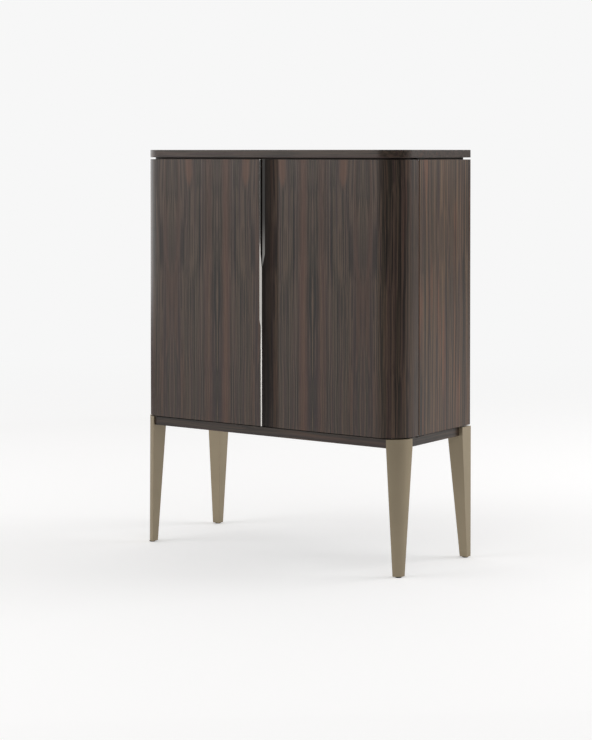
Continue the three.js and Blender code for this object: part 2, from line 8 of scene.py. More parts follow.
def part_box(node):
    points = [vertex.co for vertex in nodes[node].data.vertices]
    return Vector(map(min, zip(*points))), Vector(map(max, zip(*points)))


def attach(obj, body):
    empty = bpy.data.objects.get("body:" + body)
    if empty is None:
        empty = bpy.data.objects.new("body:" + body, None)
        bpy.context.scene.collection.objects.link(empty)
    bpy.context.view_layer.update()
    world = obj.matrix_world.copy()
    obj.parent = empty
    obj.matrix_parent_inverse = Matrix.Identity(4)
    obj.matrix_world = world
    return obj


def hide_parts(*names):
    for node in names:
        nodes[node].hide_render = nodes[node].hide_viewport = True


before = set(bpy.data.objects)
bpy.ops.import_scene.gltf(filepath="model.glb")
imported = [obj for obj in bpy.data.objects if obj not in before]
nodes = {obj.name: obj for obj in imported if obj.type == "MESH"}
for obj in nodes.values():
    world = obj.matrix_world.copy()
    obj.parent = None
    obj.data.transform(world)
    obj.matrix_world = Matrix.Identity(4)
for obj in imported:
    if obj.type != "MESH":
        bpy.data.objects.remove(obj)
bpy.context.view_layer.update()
scene = bpy.context.scene

# Camera: a long lens stands at the front right, a little below the top of the cabinet.
# The back of the camera is level, so the picture is shifted down to take in the feet.
IMAGE_HEIGHT = 740
FOCAL_PIXELS = 1957.07
OPTICAL_AXIS_ROW = 195.95
SENSOR = 36.0
CAMERA_PLACE = (3.5817, -5.1202, 1.2747)
CAMERA_TURN = math.radians(35.15)
CAMERA_TILT = math.radians(1.30)

camera_data = bpy.data.cameras.new("studio_camera")
camera_data.sensor_width = SENSOR
camera_data.lens = FOCAL_PIXELS * SENSOR / IMAGE_HEIGHT
camera_data.shift_y = (OPTICAL_AXIS_ROW - IMAGE_HEIGHT / 2) / IMAGE_HEIGHT
camera = bpy.data.objects.new("studio_camera", camera_data)
camera.location = CAMERA_PLACE
camera.rotation_euler = (math.radians(90) - CAMERA_TILT, 0, CAMERA_TURN)
scene.collection.objects.link(camera)
scene.camera = camera

# Doors and case sides: bent and flat board faced with dark fumed eucalyptus veneer, its grain
# upright, under a sprayed satin lacquer. The doors' leaves are glued mirrored side by side. The eye
# sees fine pin stripes, a few wide red-brown figures and a soft sheen on the rounded corners.
FUMED = ("#1f1a16", "#392e26", "#584638", "#5e3f30")
OLIVE_TINT, PLUM_TINT, TINT_SHARE = "#353128", "#443033", 0.4
# The last two colours on the next line are painted shade: beside the right door's finger groove, and
# on the rails' upper faces under the lower shadow gap.
PALE_LINE, FLAME, GROOVE_SHADE, TOP_SHADE_BLACK = "#66574a", "#644534", "#15110f", "#070504"
# Each kind of streak: its width and length in metres, how much fine detail it has, and its shift.
# Real pin stripes are under 1 mm wide and pores 0.2 mm, and both are drawn coarser so that they show.
STREAKS = {
    "band": (0.045, 1.2, 2.0, 0.0),
    "pin": (0.0034, 1.1, 3.0, 3.1),
    "fine": (0.0070, 0.9, 2.0, 7.7),
    "tint": (0.0110, 0.8, 1.0, 12.3),
    "figure": (0.026, 0.6, 2.0, 5.3),
    "pore": (0.0016, 0.05, 2.0, 0.0),
}
PORE_DEPTH = 0.00004
WANDERS_PER_METRE = 2.6
# Across each leaf lie a warm streak, two pale lines and a flame that hangs from its top end. The
# lines and the flame stop before the rounded corners. The warm streak is fainter beyond the leaves
# where the doors meet.
LEAF_WIDTH = 0.1835
WARM_STREAK, WARM_REACH = 0.160, 0.026
MEETING_LEAF_END = (0.17, 0.20)
PALE_LINES, PALE_REACH = (0.107, 0.132), 0.0028
FLAME_MIDDLE, FLAME_STRENGTH = 0.080, 0.68
FLAME_TIP, FLAME_FULL = 1.12, 1.21
FLAME_CORE, FLAME_RIM = (-0.020, 0.005), (-0.003, 0.022)
CORNER_START = (0.395, 0.425)
# A finger groove runs down the right door's edge. Beside it the veneer holds painted shade, darkest
# at the edge, and its shoulder is brushed so that it turns the light away, out to where the groove
# meets the face.
GROOVE_START, GROOVE_WIDTH = 0.007, 0.057
SHOULDER_SWELL, SHOULDER_CURVE = 0.024, 1.4
SOFT_ENDS = {"interpolation_type": "SMOOTHSTEP"}


def linear(code):
    """An sRGB hex colour as linear red, green, blue and alpha."""
    parts = [int(code[k:k + 2], 16) / 255 for k in (1, 3, 5)]
    return [p / 12.92 if p <= 0.04045 else ((p + 0.055) / 1.055) ** 2.4 for p in parts] + [1.0]


def add_node(tree, kind, settings=None, inputs=None):
    """Adds a node with its own settings, and gives each named or numbered input a value or a link."""
    made = tree.nodes.new(kind)
    for name, value in (settings or {}).items():
        setattr(made, name, value)
    for name, value in (inputs or {}).items():
        if isinstance(value, bpy.types.NodeSocket):
            tree.links.new(value, made.inputs[name])
        else:
            made.inputs[name].default_value = value
    return made


def new_material(name):
    """An empty node material and its tree."""
    material = bpy.data.materials.new(name)
    material.use_nodes = True
    material.node_tree.nodes.clear()
    return material, material.node_tree


def paint(material, *names):
    """Gives CAD nodes a material."""
    for name in names:
        nodes[name].data.materials.clear()
        nodes[name].data.materials.append(material)


def veneer(name, along, shades, sheen, leaf=None, groove=None, painted_shade_top=False, wander=0.022):
    """Dark striped veneer. along is the grain's direction, shades its dark, middle, light and red.
    leaf is the width of one leaf of veneer, where the leaves are laid mirrored side by side.
    groove is where the painted shade and the swell of a finger groove start and end, along X.
    painted_shade_top says that the upper faces are painted black as shade, from the gap above.
    wander is how far the grain strays from a straight line, in metres."""
    dark, middle, light, red = (linear(code) for code in shades)
    material, tree = new_material(name)
    place = add_node(tree, "ShaderNodeTexCoord").outputs["Object"]
    east, north, high = add_node(tree, "ShaderNodeSeparateXYZ", None, {0: place}).outputs
    laid = place
    if leaf:
        across = add_node(tree, "ShaderNodeMath", {"operation": "PINGPONG"}, {
            0: east, 1: leaf}).outputs[0]
        laid = add_node(tree, "ShaderNodeCombineXYZ", None, {0: across, 1: north, 2: high}).outputs[0]
    stray = add_node(tree, "ShaderNodeTexNoise", None, {
        "Vector": laid, "Scale": WANDERS_PER_METRE, "Detail": 2.0})
    bent = add_node(tree, "ShaderNodeVectorMath", {"operation": "MULTIPLY_ADD"}, {
        0: stray.outputs["Color"], 1: [0.0 if axis else wander for axis in along], 2: laid}).outputs[0]

    def streaks(kind):
        """Noise stretched along the grain, from 0 to 1, for one kind of streak."""
        width, length, detail, shift = STREAKS[kind]
        stretched = add_node(tree, "ShaderNodeMapping", None, {
            "Vector": bent, "Location": (shift, shift, shift),
            "Scale": [1 / length if axis else 1 / width for axis in along]})
        noise = add_node(tree, "ShaderNodeTexNoise", None, {
            "Vector": stretched.outputs[0], "Scale": 1.0, "Detail": detail, "Roughness": 0.6})
        return noise.outputs["Fac"]

    def blend_over(under, over, pattern, faint, full, most=1.0):
        """Mixes one colour over another, from nothing at faint up to most at full."""
        share = add_node(tree, "ShaderNodeMapRange", SOFT_ENDS, {
            "Value": pattern, "From Min": faint, "From Max": full, "To Min": 0.0, "To Max": most})
        return add_node(tree, "ShaderNodeMix", {"data_type": "RGBA"}, {
            0: share.outputs[0], 6: under, 7: over}).outputs[2]

    def leaf_mark(under, over, centre, core, rim, strength, kept=1.0):
        """Draws one long mark in each leaf, whole within core of its centre and gone at rim."""
        across = add_node(tree, "ShaderNodeSeparateXYZ", None, {0: bent}).outputs[0]
        off = add_node(tree, "ShaderNodeMath", {"operation": "SUBTRACT"}, {0: across, 1: centre})
        away = add_node(tree, "ShaderNodeMath", {"operation": "ABSOLUTE"}, {0: off.outputs[0]})
        share = add_node(tree, "ShaderNodeMapRange", SOFT_ENDS, {
            "Value": away.outputs[0], "From Min": core, "From Max": rim, "To Min": strength,
            "To Max": 0.0})
        share = add_node(tree, "ShaderNodeMath", {"operation": "MULTIPLY"}, {
            0: share.outputs[0], 1: kept})
        return add_node(tree, "ShaderNodeMix", {"data_type": "RGBA"}, {
            0: share.outputs[0], 6: under, 7: over}).outputs[2]

    bands, pins, pores = streaks("band"), streaks("pin"), streaks("pore")
    colour = blend_over(dark, middle, bands, faint=0.36, full=0.64)
    tint = blend_over(linear(OLIVE_TINT), linear(PLUM_TINT), streaks("tint"), faint=0.42, full=0.58)
    colour = add_node(tree, "ShaderNodeMix", {"data_type": "RGBA"}, {
        0: TINT_SHARE, 6: colour, 7: tint}).outputs[2]
    colour = blend_over(colour, light, pins, faint=0.40, full=0.64, most=0.9)
    colour = blend_over(colour, red, streaks("figure"), faint=0.54, full=0.70, most=0.35 if leaf else 0.6)
    colour = blend_over(colour, dark, streaks("fine"), faint=0.48, full=0.66, most=0.85)
    if leaf:
        aside = add_node(tree, "ShaderNodeMath", {"operation": "ABSOLUTE"}, {0: east}).outputs[0]
        on_flat = add_node(tree, "ShaderNodeMapRange", SOFT_ENDS, {
            "Value": aside, "From Min": CORNER_START[0], "From Max": CORNER_START[1], "To Min": 1.0,
            "To Max": 0.0}).outputs[0]
        warmth = add_node(tree, "ShaderNodeMapRange", SOFT_ENDS, {
            "Value": aside, "From Min": MEETING_LEAF_END[0], "From Max": MEETING_LEAF_END[1],
            "To Min": 0.55, "To Max": 0.3}).outputs[0]
        colour = leaf_mark(colour, red, WARM_STREAK, 0.0, WARM_REACH, warmth)
        paleness = add_node(tree, "ShaderNodeMapRange", SOFT_ENDS, {
            "Value": bands, "From Min": 0.35, "From Max": 0.6, "To Min": 0.15,
            "To Max": 0.7}).outputs[0]
        for line in PALE_LINES:
            colour = leaf_mark(colour, linear(PALE_LINE), line, 0.0, PALE_REACH, paleness, on_flat)
        core, rim = (add_node(tree, "ShaderNodeMapRange", SOFT_ENDS, {
            "Value": high, "From Min": FLAME_TIP, "From Max": FLAME_FULL, "To Min": at_tip,
            "To Max": at_top}).outputs[0] for at_tip, at_top in (FLAME_CORE, FLAME_RIM))
        colour = leaf_mark(colour, linear(FLAME), FLAME_MIDDLE, core, rim, FLAME_STRENGTH, on_flat)
    colour = blend_over(colour, dark, pores, faint=0.60, full=0.74, most=0.25)

    relief = add_node(tree, "ShaderNodeMath", {"operation": "MULTIPLY"}, {
        0: pores, 1: PORE_DEPTH}).outputs[0]
    if groove:
        near = add_node(tree, "ShaderNodeMapRange", None, {
            "Value": east, "From Min": groove[0], "From Max": groove[1], "To Min": 1.0,
            "To Max": 0.0}).outputs[0]
        # Painted shade: the veneer darkens towards the meeting edge, beside the finger groove.
        colour = blend_over(colour, linear(GROOVE_SHADE), near, faint=0.0, full=1.0, most=0.8)
        swell = add_node(tree, "ShaderNodeMath", {"operation": "POWER"}, {
            0: near, 1: SHOULDER_CURVE}).outputs[0]
        relief = add_node(tree, "ShaderNodeMath", {"operation": "MULTIPLY_ADD"}, {
            0: swell, 1: SHOULDER_SWELL, 2: relief}).outputs[0]
    if painted_shade_top:
        facing = add_node(tree, "ShaderNodeTexCoord").outputs["Normal"]
        upward = add_node(tree, "ShaderNodeSeparateXYZ", None, {0: facing}).outputs[2]
        # Painted shade: faces that look up turn black, as the shade of the gap above them.
        colour = blend_over(colour, linear(TOP_SHADE_BLACK), upward, faint=0.5, full=0.9)
    rough = add_node(tree, "ShaderNodeMapRange", SOFT_ENDS, {
        "Value": pins, "From Min": 0.3, "From Max": 0.7, "To Min": sheen - 0.03,
        "To Max": sheen + 0.05})
    bump = add_node(tree, "ShaderNodeBump", None, {"Height": relief, "Distance": 1.0})
    shader = add_node(tree, "ShaderNodeBsdfPrincipled", None, {
        "Base Color": colour, "Roughness": rough.outputs[0], "Normal": bump.outputs[0]})
    add_node(tree, "ShaderNodeOutputMaterial", None, {"Surface": shader.outputs[0]})
    return material


paint(veneer("fumed_eucalyptus_upright", (0, 0, 1), FUMED, sheen=0.36, leaf=LEAF_WIDTH), "left_door")
groove_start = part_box("right_door")[0].x + GROOVE_START
paint(veneer("fumed_eucalyptus_groove_shade", (0, 0, 1), FUMED, sheen=0.36, leaf=LEAF_WIDTH,
             groove=(groove_start, groove_start + GROOVE_WIDTH)), "right_door")

# The case sides are faced with plain leaves that aren't mirrored. They are livelier than the doors':
# warmer, straighter, and with more contrast between the stripes.
LIVELY = ("#1f1711", "#42332a", "#70563f", "#784d36")
paint(veneer("fumed_eucalyptus_sides", (0, 0, 1), LIVELY, sheen=0.38, wander=0.009),
      "case_left_side", "case_right_side")

# Door trims: brass bar and plate, nickel plated and polished, let into the meeting edge of each
# door and glued. They mirror the pale room. The polishing lines are drawn 0.4 mm apart and 50 mm
# long, wider than real ones, so that they show faintly.
POLISH_PER_METRE = (2500.0, 2500.0, 20.0)
BAR_ROUND, FACET_PLATE_ROUND = 0.0004, 0.0003
WELD_DISTANCE = 0.00001
SAME_PLANE, ARRIS_ANGLE, SMOOTH_ANGLE = (math.radians(angle) for angle in (0.5, 40, 35))


def lined_metal(name, colour, per_metre, smoothest, roughest):
    """A bare metal whose gloss changes a little from one fine line to the next."""
    material, tree = new_material(name)
    place = add_node(tree, "ShaderNodeTexCoord").outputs["Object"]
    stretched = add_node(tree, "ShaderNodeMapping", None, {"Vector": place, "Scale": per_metre})
    lines = add_node(tree, "ShaderNodeTexNoise", None, {"Vector": stretched.outputs[0], "Scale": 1.0})
    rough = add_node(tree, "ShaderNodeMapRange", None, {
        "Value": lines.outputs["Fac"], "From Min": 0.3, "From Max": 0.7, "To Min": smoothest,
        "To Max": roughest})
    shader = add_node(tree, "ShaderNodeBsdfPrincipled", None, {
        "Base Color": linear(colour), "Metallic": 1.0, "Roughness": rough.outputs[0]})
    add_node(tree, "ShaderNodeOutputMaterial", None, {"Surface": shader.outputs[0]})
    return material


def ease(node, body, width):
    """Merges a copy of a CAD node, bevels its arrises softly and stands it in for the node."""
    bpy.ops.object.select_all(action="DESELECT")
    piece = bpy.data.objects.new(node + "_eased", nodes[node].data.copy())
    scene.collection.objects.link(piece)
    piece.select_set(True)
    bpy.context.view_layer.objects.active = piece
    bpy.ops.object.mode_set(mode="EDIT")
    bpy.ops.mesh.select_all(action="SELECT")
    bpy.ops.mesh.remove_doubles(threshold=WELD_DISTANCE)
    bpy.ops.mesh.dissolve_limited(angle_limit=SAME_PLANE)
    bpy.ops.object.mode_set(mode="OBJECT")
    arris = piece.modifiers.new("eased_arris", "BEVEL")
    arris.width = width
    arris.segments = 2
    arris.limit_method = "ANGLE"
    arris.angle_limit = ARRIS_ANGLE
    bpy.ops.object.modifier_apply(modifier=arris.name)
    bpy.ops.object.shade_smooth_by_angle(angle=SMOOTH_ANGLE)
    flat = piece.modifiers.new("flat_faces", "WEIGHTED_NORMAL")
    flat.keep_sharp = True
    bpy.ops.object.modifier_apply(modifier=flat.name)
    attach(piece, body)
    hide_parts(node)


paint(lined_metal("polished_nickel", "#eeebe6", POLISH_PER_METRE, 0.05, 0.09),
      "left_door_trim", "right_door_trim")
ease("left_door_trim", "left_door", BAR_ROUND)
ease("right_door_trim", "right_door", FACET_PLATE_ROUND)

# Top slab, case top and bottom, and rails: the same veneer laid with its grain along the long side,
# on the slab's face and edge band and on the glued-up rails of the base. The side rails' grain runs
# front to back. The rails' upper faces are painted black as shade, so that the shadow gap stays dark.
LENGTHWISE = ("#261f1a", "#392d25", "#4c3d32", "#533a2b")
paint(veneer("fumed_eucalyptus_lengthwise", (1, 0, 0), LENGTHWISE, sheen=0.34),
      "top_slab", "case_top", "case_bottom")
paint(veneer("rail_veneer_lengthwise", (1, 0, 0), LENGTHWISE, sheen=0.34, painted_shade_top=True),
      "front_rail", "back_rail")
paint(veneer("rail_veneer_crosswise", (0, 1, 0), LENGTHWISE, sheen=0.34, painted_shade_top=True),
      "left_rail", "right_rail")

# Inside boards: back, fixed shelf and loose shelf of veneered board under a matt lacquer, grain
# lengthwise. Their arrises are sanded to a fine round. The eye sees a paler, duller stripe.
BOARD_ROUND = 0.0008
INSIDE = ("#3a312a", "#54463b", "#65564a", "#6c4f3d")
inside_veneer = veneer("matt_eucalyptus_inside", (1, 0, 0), INSIDE, sheen=0.5)
paint(inside_veneer, "case_back", "middle_shelf", "lower_shelf", "fold_shelf", "fold_batten")
for board in ("middle_shelf", "lower_shelf"):
    ease(board, "cabinet", BOARD_ROUND)

# Shadow gap boards and glides: recessed spacer boards screwed between the case, the slab and the
# base, and felt glides pressed under the feet. The lower board is painted near black as the shade
# of the lower gap, and the glides share that near black as their felt's own colour. The upper board
# is only brown. Their fibres are drawn as a dull speckle 1 to 1.5 mm wide, so that they show.


def speckled(name, per_metre, detail, dark, pale, **looks):
    """A finish of two close shades, mixed in fine specks."""
    material, tree = new_material(name)
    place = add_node(tree, "ShaderNodeTexCoord").outputs["Object"]
    specks = add_node(tree, "ShaderNodeTexNoise", None, {
        "Vector": place, "Scale": per_metre, "Detail": detail})
    tone = add_node(tree, "ShaderNodeMix", {"data_type": "RGBA"}, {
        0: specks.outputs["Fac"], 6: linear(dark), 7: linear(pale)})
    shader = add_node(tree, "ShaderNodeBsdfPrincipled", None, {
        "Base Color": tone.outputs[2], **looks})
    add_node(tree, "ShaderNodeOutputMaterial", None, {"Surface": shader.outputs[0]})
    return material


# Painted shade: the lower spacer board is near black, as the shade of the gap it stands in.
paint(speckled("black_felt_and_gap_shade", 900.0, 3.0, "#0e0c0b", "#1d1a18", Roughness=0.85),
      "bottom_spacer", "front_left_glide", "front_right_glide", "back_left_glide", "back_right_glide")
paint(speckled("brown_stained_board", 700.0, 3.0, "#2c221b", "#43352b", Roughness=0.6), "top_spacer")

# Legs: tapered steel legs screwed to the base, under a champagne-bronze coat, sprayed and baked.
# The coat holds a fine metal flake, drawn 0.6 mm wide so that it shows, and clouds faintly over
# 140 mm. Flat faces glow evenly and the round face fades softly.
FLAKES_PER_METRE, CLOUDS_PER_METRE = 1600.0, 7.0
LEG_ROUND = 0.0006
bronze_coat, tree = new_material("champagne_bronze_coat")
place = add_node(tree, "ShaderNodeTexCoord").outputs["Object"]
flake = add_node(tree, "ShaderNodeTexNoise", None, {
    "Vector": place, "Scale": FLAKES_PER_METRE, "Detail": 2.0}).outputs["Fac"]
cloud = add_node(tree, "ShaderNodeTexNoise", None, {
    "Vector": place, "Scale": CLOUDS_PER_METRE, "Detail": 2.0}).outputs["Fac"]
tone = add_node(tree, "ShaderNodeMix", {"data_type": "RGBA"}, {
    0: cloud, 6: linear("#9c8f78"), 7: linear("#a89a82")})
rough = add_node(tree, "ShaderNodeMapRange", None, {
    "Value": flake, "From Min": 0.3, "From Max": 0.7, "To Min": 0.38, "To Max": 0.5})
bump = add_node(tree, "ShaderNodeBump", None, {
    "Height": flake, "Strength": 0.05, "Distance": 0.0002})
shader = add_node(tree, "ShaderNodeBsdfPrincipled", None, {
    "Base Color": tone.outputs[2], "Metallic": 0.55, "Roughness": rough.outputs[0],
    "Normal": bump.outputs[0]})
add_node(tree, "ShaderNodeOutputMaterial", None, {"Surface": shader.outputs[0]})
for leg in ("front_left_leg", "front_right_leg", "back_left_leg", "back_right_leg"):
    paint(bronze_coat, leg)
    ease(leg, "cabinet", LEG_ROUND)

# Knife hinges: arms screwed to the case and eyed leaves let into the door ends, cut from steel. The
# arms and their screws are painted near black as shade, with a dull 3 mm mottle, so that the shadow
# gaps stay dark. The leaves are zinc plated, a dull bright grey, with brush lines drawn 0.6 mm apart
# and 17 mm long so that they show.
BRUSH_PER_METRE = (60.0, 1800.0, 1800.0)
zinc_steel = lined_metal("zinc_plated_steel", "#a9abad", BRUSH_PER_METRE, 0.28, 0.42)
black_steel_and_gap_shade = speckled("blackened_steel_and_gap_shade", 300.0, 2.0, "#15120f", "#241e19",
                       Metallic=0.3, Roughness=0.6)
paint(zinc_steel, *(name for name in nodes if "hinge_leaf" in name))
# Painted shade: the arms are near black, as the shade of the gaps they lie in.
paint(black_steel_and_gap_shade, *(name for name in nodes if "hinge_arm" in name))

# Screws: pressed steel, countersunk, with a cross recess, in the finish of the leaf or arm that they
# hold. The sizes of a head are shares of its radius.
HEAD_SIDES = 24
HEAD_HEIGHT, HEAD_RIM, HEAD_CROWN = 0.6, 0.14, 0.08
CROSS_REACH, CROSS_WAIST, CROSS_DEPTH, CROSS_TAPER = 0.26, 0.42, 0.45, 0.6
CROSS_NOTCH = (20, 70)
FACES_UP = 0.9


def between(start, end, share):
    """The point at a share of the way from one end to the other."""
    return start + (end - start) * share


def screw_head(radius):
    """A countersunk screw head that faces +Z, with a cross recess. Its rim lies at the origin."""
    bpy.ops.object.select_all(action="DESELECT")
    bpy.ops.mesh.primitive_cylinder_add(vertices=HEAD_SIDES, radius=radius, depth=HEAD_HEIGHT * radius,
                                        location=(0, 0, -HEAD_HEIGHT * radius / 2))
    head = bpy.context.active_object
    head.name = "screw_pattern"
    bpy.ops.object.transform_apply(location=True, rotation=False, scale=False)
    bpy.ops.object.mode_set(mode="EDIT")
    bpy.ops.mesh.select_mode(type="FACE")
    bpy.ops.mesh.select_all(action="DESELECT")
    bpy.ops.object.mode_set(mode="OBJECT")
    for face in head.data.polygons:
        face.select = face.normal.z > FACES_UP
    bpy.ops.object.mode_set(mode="EDIT")
    bpy.ops.mesh.inset(thickness=HEAD_RIM * radius, depth=HEAD_CROWN * radius)
    bpy.ops.mesh.inset(thickness=CROSS_REACH * radius)
    # The inner ring is drawn in between the four arms of the cross.
    bpy.ops.mesh.select_mode(type="VERT")
    bpy.ops.object.mode_set(mode="OBJECT")
    for vertex in head.data.vertices:
        turn = math.degrees(math.atan2(vertex.co.y, vertex.co.x)) % 90
        vertex.select = vertex.select and CROSS_NOTCH[0] < turn < CROSS_NOTCH[1]
    for edge in head.data.edges:
        edge.select = False
    for face in head.data.polygons:
        face.select = False
    bpy.ops.object.mode_set(mode="EDIT")
    bpy.ops.transform.resize(value=(CROSS_WAIST, CROSS_WAIST, 1), center_override=(0, 0, 0))
    bpy.ops.mesh.select_mode(type="FACE")
    bpy.ops.mesh.select_all(action="DESELECT")
    bpy.ops.object.mode_set(mode="OBJECT")
    for face in head.data.polygons:
        face.select = face.normal.z > FACES_UP and len(face.vertices) == HEAD_SIDES
    bpy.ops.object.mode_set(mode="EDIT")
    bpy.ops.mesh.extrude_region_move(TRANSFORM_OT_translate={"value": (0, 0, -CROSS_DEPTH * radius)})
    bpy.ops.transform.resize(value=(CROSS_TAPER, CROSS_TAPER, 1), center_override=(0, 0, 0))
    bpy.ops.object.mode_set(mode="OBJECT")
    return head


def drive_screws(name, head, spots, facing, body, material):
    """Copies a screw head to each spot, turned to face one way, as one piece."""
    turn = Vector((0, 0, 1)).rotation_difference(Vector(facing)).to_matrix().to_4x4()
    bpy.ops.object.select_all(action="DESELECT")
    for spot in spots:
        copy = bpy.data.objects.new(name, head.data.copy())
        copy.data.transform(Matrix.Translation(spot) @ turn)
        scene.collection.objects.link(copy)
        copy.select_set(True)
        bpy.context.view_layer.objects.active = copy
    if len(spots) > 1:
        bpy.ops.object.join()
    piece = bpy.context.view_layer.objects.active
    piece.name = name
    piece.data.materials.clear()
    piece.data.materials.append(material)
    bpy.ops.object.shade_smooth_by_angle(angle=SMOOTH_ANGLE)
    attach(piece, body)


HINGE_SCREW = 0.0026
SCREW_PROUD = 0.0001
HINGE_BAR, ARM_THICKNESS = 0.010, 0.0025
LEAF_SCREWS, ARM_SCREWS = (0.2, 0.55), (0.5, 0.85)
small_head = screw_head(HINGE_SCREW)
for side, outward in (("left", -1), ("right", 1)):
    for end, up in (("upper", 1), ("lower", -1)):
        low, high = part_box(f"{end}_{side}_hinge_leaf")
        face = high.z if up > 0 else low.z
        middle = min(low.x, high.x, key=abs) + outward * HINGE_BAR / 2
        spots = [(middle, between(low.y, high.y, share), face + up * SCREW_PROUD)
                 for share in LEAF_SCREWS]
        drive_screws(f"{end}_{side}_leaf_screws", small_head, spots, (0, 0, up),
                     f"{side}_door", zinc_steel)
        low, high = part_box(f"{end}_{side}_hinge_arm")
        face = high.z - ARM_THICKNESS if up > 0 else low.z + ARM_THICKNESS
        spots = [(middle, between(low.y, high.y, share), face - up * SCREW_PROUD)
                 for share in ARM_SCREWS]
        drive_screws(f"{end}_{side}_arm_screws", small_head, spots, (0, 0, -up),
                     "cabinet", black_steel_and_gap_shade)

# Fold-out shelf and its batten: veneered boards like the others inside, with sanded arrises. The
# batten is screwed to the door. The shelf's free edge carries a bronze coated steel strip, glued on,
# which the catch above it holds.
for board, body in (("fold_shelf", "fold_shelf"), ("fold_batten", "right_door")):
    ease(board, body, BOARD_ROUND)
paint(bronze_coat, "fold_shelf_edge")
ease("fold_shelf_edge", "fold_shelf", LEG_ROUND)

# Flap hinges of the fold-out shelf: pressed and rolled leaves of zinc-plated steel, turning on a
# pin. The fixed leaf is screwed to the batten and the moving one to the shelf's edge, by three
# countersunk screws each.
FLAP_LEAF = 0.0016
FLAP_SCREWS = (0.18, 0.5, 0.82)
for end in ("inner", "outer"):
    for leaf, body, height in (("fixed", "right_door", 0.4), ("moving", "fold_shelf", 0.6)):
        node = f"{end}_flap_{leaf}_leaf"
        paint(zinc_steel, node)
        low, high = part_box(node)
        spots = [(between(low.x, high.x, share), low.y + FLAP_LEAF + SCREW_PROUD,
                  between(low.z, high.z, height)) for share in FLAP_SCREWS]
        drive_screws(f"{end}_flap_{leaf}_screws", small_head, spots, (0, 1, 0), body, zinc_steel)

# Support arm: a bronze coated steel blade on a hub, which swings under the open shelf. Its mount
# is a zinc-plated plate with two lugs and a pin, held on the door by four small screws.
MOUNT_PLATE = 0.003
MOUNT_SCREW = 0.0016
MOUNT_SCREWS_ACROSS, MOUNT_SCREWS_UP = (0.1, 0.9), (0.12, 0.88)
paint(bronze_coat, "support_arm")
paint(zinc_steel, "support_arm_mount")
ease("support_arm", "support_arm", LEG_ROUND)
low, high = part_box("support_arm_mount")
tiny_head = screw_head(MOUNT_SCREW)
spots = [(between(low.x, high.x, across), low.y + MOUNT_PLATE + SCREW_PROUD,
          between(low.z, high.z, up))
         for across in MOUNT_SCREWS_ACROSS for up in MOUNT_SCREWS_UP]
drive_screws("arm_mount_screws", tiny_head, spots, (0, 1, 0), "right_door", zinc_steel)

# Catches: housings of zinc-plated steel with pressed and sintered magnets that stand a hair proud,
# near black, their grain drawn 0.7 mm wide so that it shows. One holds the strikes of both doors,
# the other the metal edge of the folded shelf. Housings and strikes are screwed on.
MAGNET_PROUD = 0.0001
MAGNET_ROUND = 0.0005
MAGNET_DEPTH = 0.006
STRIKE_INSET, HOUSING_LIP = 0.12, 0.002
SHELF_MAGNET_SIDE, SHELF_MAGNET_BACK, SHELF_MAGNET_FRONT = 0.008, 0.005, 0.003
DOOR_CATCH_SCREWS, SHELF_CATCH_SCREWS = (0.08, 0.5, 0.92), (0.2, 0.8)
magnet_black = speckled("sintered_magnet", 1400.0, 2.0, "#26272a", "#3b3c3f",
                        Metallic=0.6, Roughness=0.5)
paint(zinc_steel, "door_catch", "left_door_strike", "right_door_strike", "shelf_catch")


def magnet(name, low, high, body):
    """A bevelled block of magnet between two corners."""
    bpy.ops.object.select_all(action="DESELECT")
    bpy.ops.mesh.primitive_cube_add(size=1, location=(Vector(low) + Vector(high)) / 2,
                                    scale=Vector(high) - Vector(low))
    piece = bpy.context.active_object
    piece.name = name
    bpy.ops.object.transform_apply(location=True, rotation=True, scale=True)
    bpy.ops.object.mode_set(mode="EDIT")
    bpy.ops.mesh.select_all(action="SELECT")
    bpy.ops.mesh.bevel(offset=MAGNET_ROUND, segments=2)
    bpy.ops.object.mode_set(mode="OBJECT")
    bpy.ops.object.shade_smooth_by_angle(angle=SMOOTH_ANGLE)
    piece.data.materials.append(magnet_black)
    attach(piece, body)


low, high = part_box("door_catch")
for side in ("left", "right"):
    strike_low, strike_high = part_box(f"{side}_door_strike")
    inset = (strike_high.x - strike_low.x) * STRIKE_INSET
    magnet(f"{side}_catch_magnet",
           (strike_low.x + inset, low.y - MAGNET_PROUD, low.z + HOUSING_LIP),
           (strike_high.x - inset, low.y + MAGNET_DEPTH, high.z - HOUSING_LIP), "cabinet")
    middle = ((strike_low.x + strike_high.x) / 2, strike_high.y + SCREW_PROUD,
              (strike_low.z + strike_high.z) / 2)
    drive_screws(f"{side}_strike_screw", small_head, [middle], (0, 1, 0), f"{side}_door", zinc_steel)
spots = [(between(low.x, high.x, share), (low.y + high.y) / 2, low.z - SCREW_PROUD)
         for share in DOOR_CATCH_SCREWS]
drive_screws("door_catch_screws", small_head, spots, (0, 0, -1), "cabinet", zinc_steel)
ease("door_catch", "cabinet", MAGNET_ROUND)
low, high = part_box("shelf_catch")
magnet("shelf_catch_magnet",
       (low.x + SHELF_MAGNET_SIDE, low.y + SHELF_MAGNET_BACK, low.z - MAGNET_PROUD),
       (high.x - SHELF_MAGNET_SIDE, high.y - SHELF_MAGNET_FRONT, low.z + MAGNET_DEPTH), "right_door")
spots = [(between(low.x, high.x, share), high.y + SCREW_PROUD, (low.z + high.z) / 2)
         for share in SHELF_CATCH_SCREWS]
drive_screws("shelf_catch_screws", small_head, spots, (0, 1, 0), "right_door", zinc_steel)
ease("shelf_catch", "right_door", MAGNET_ROUND)

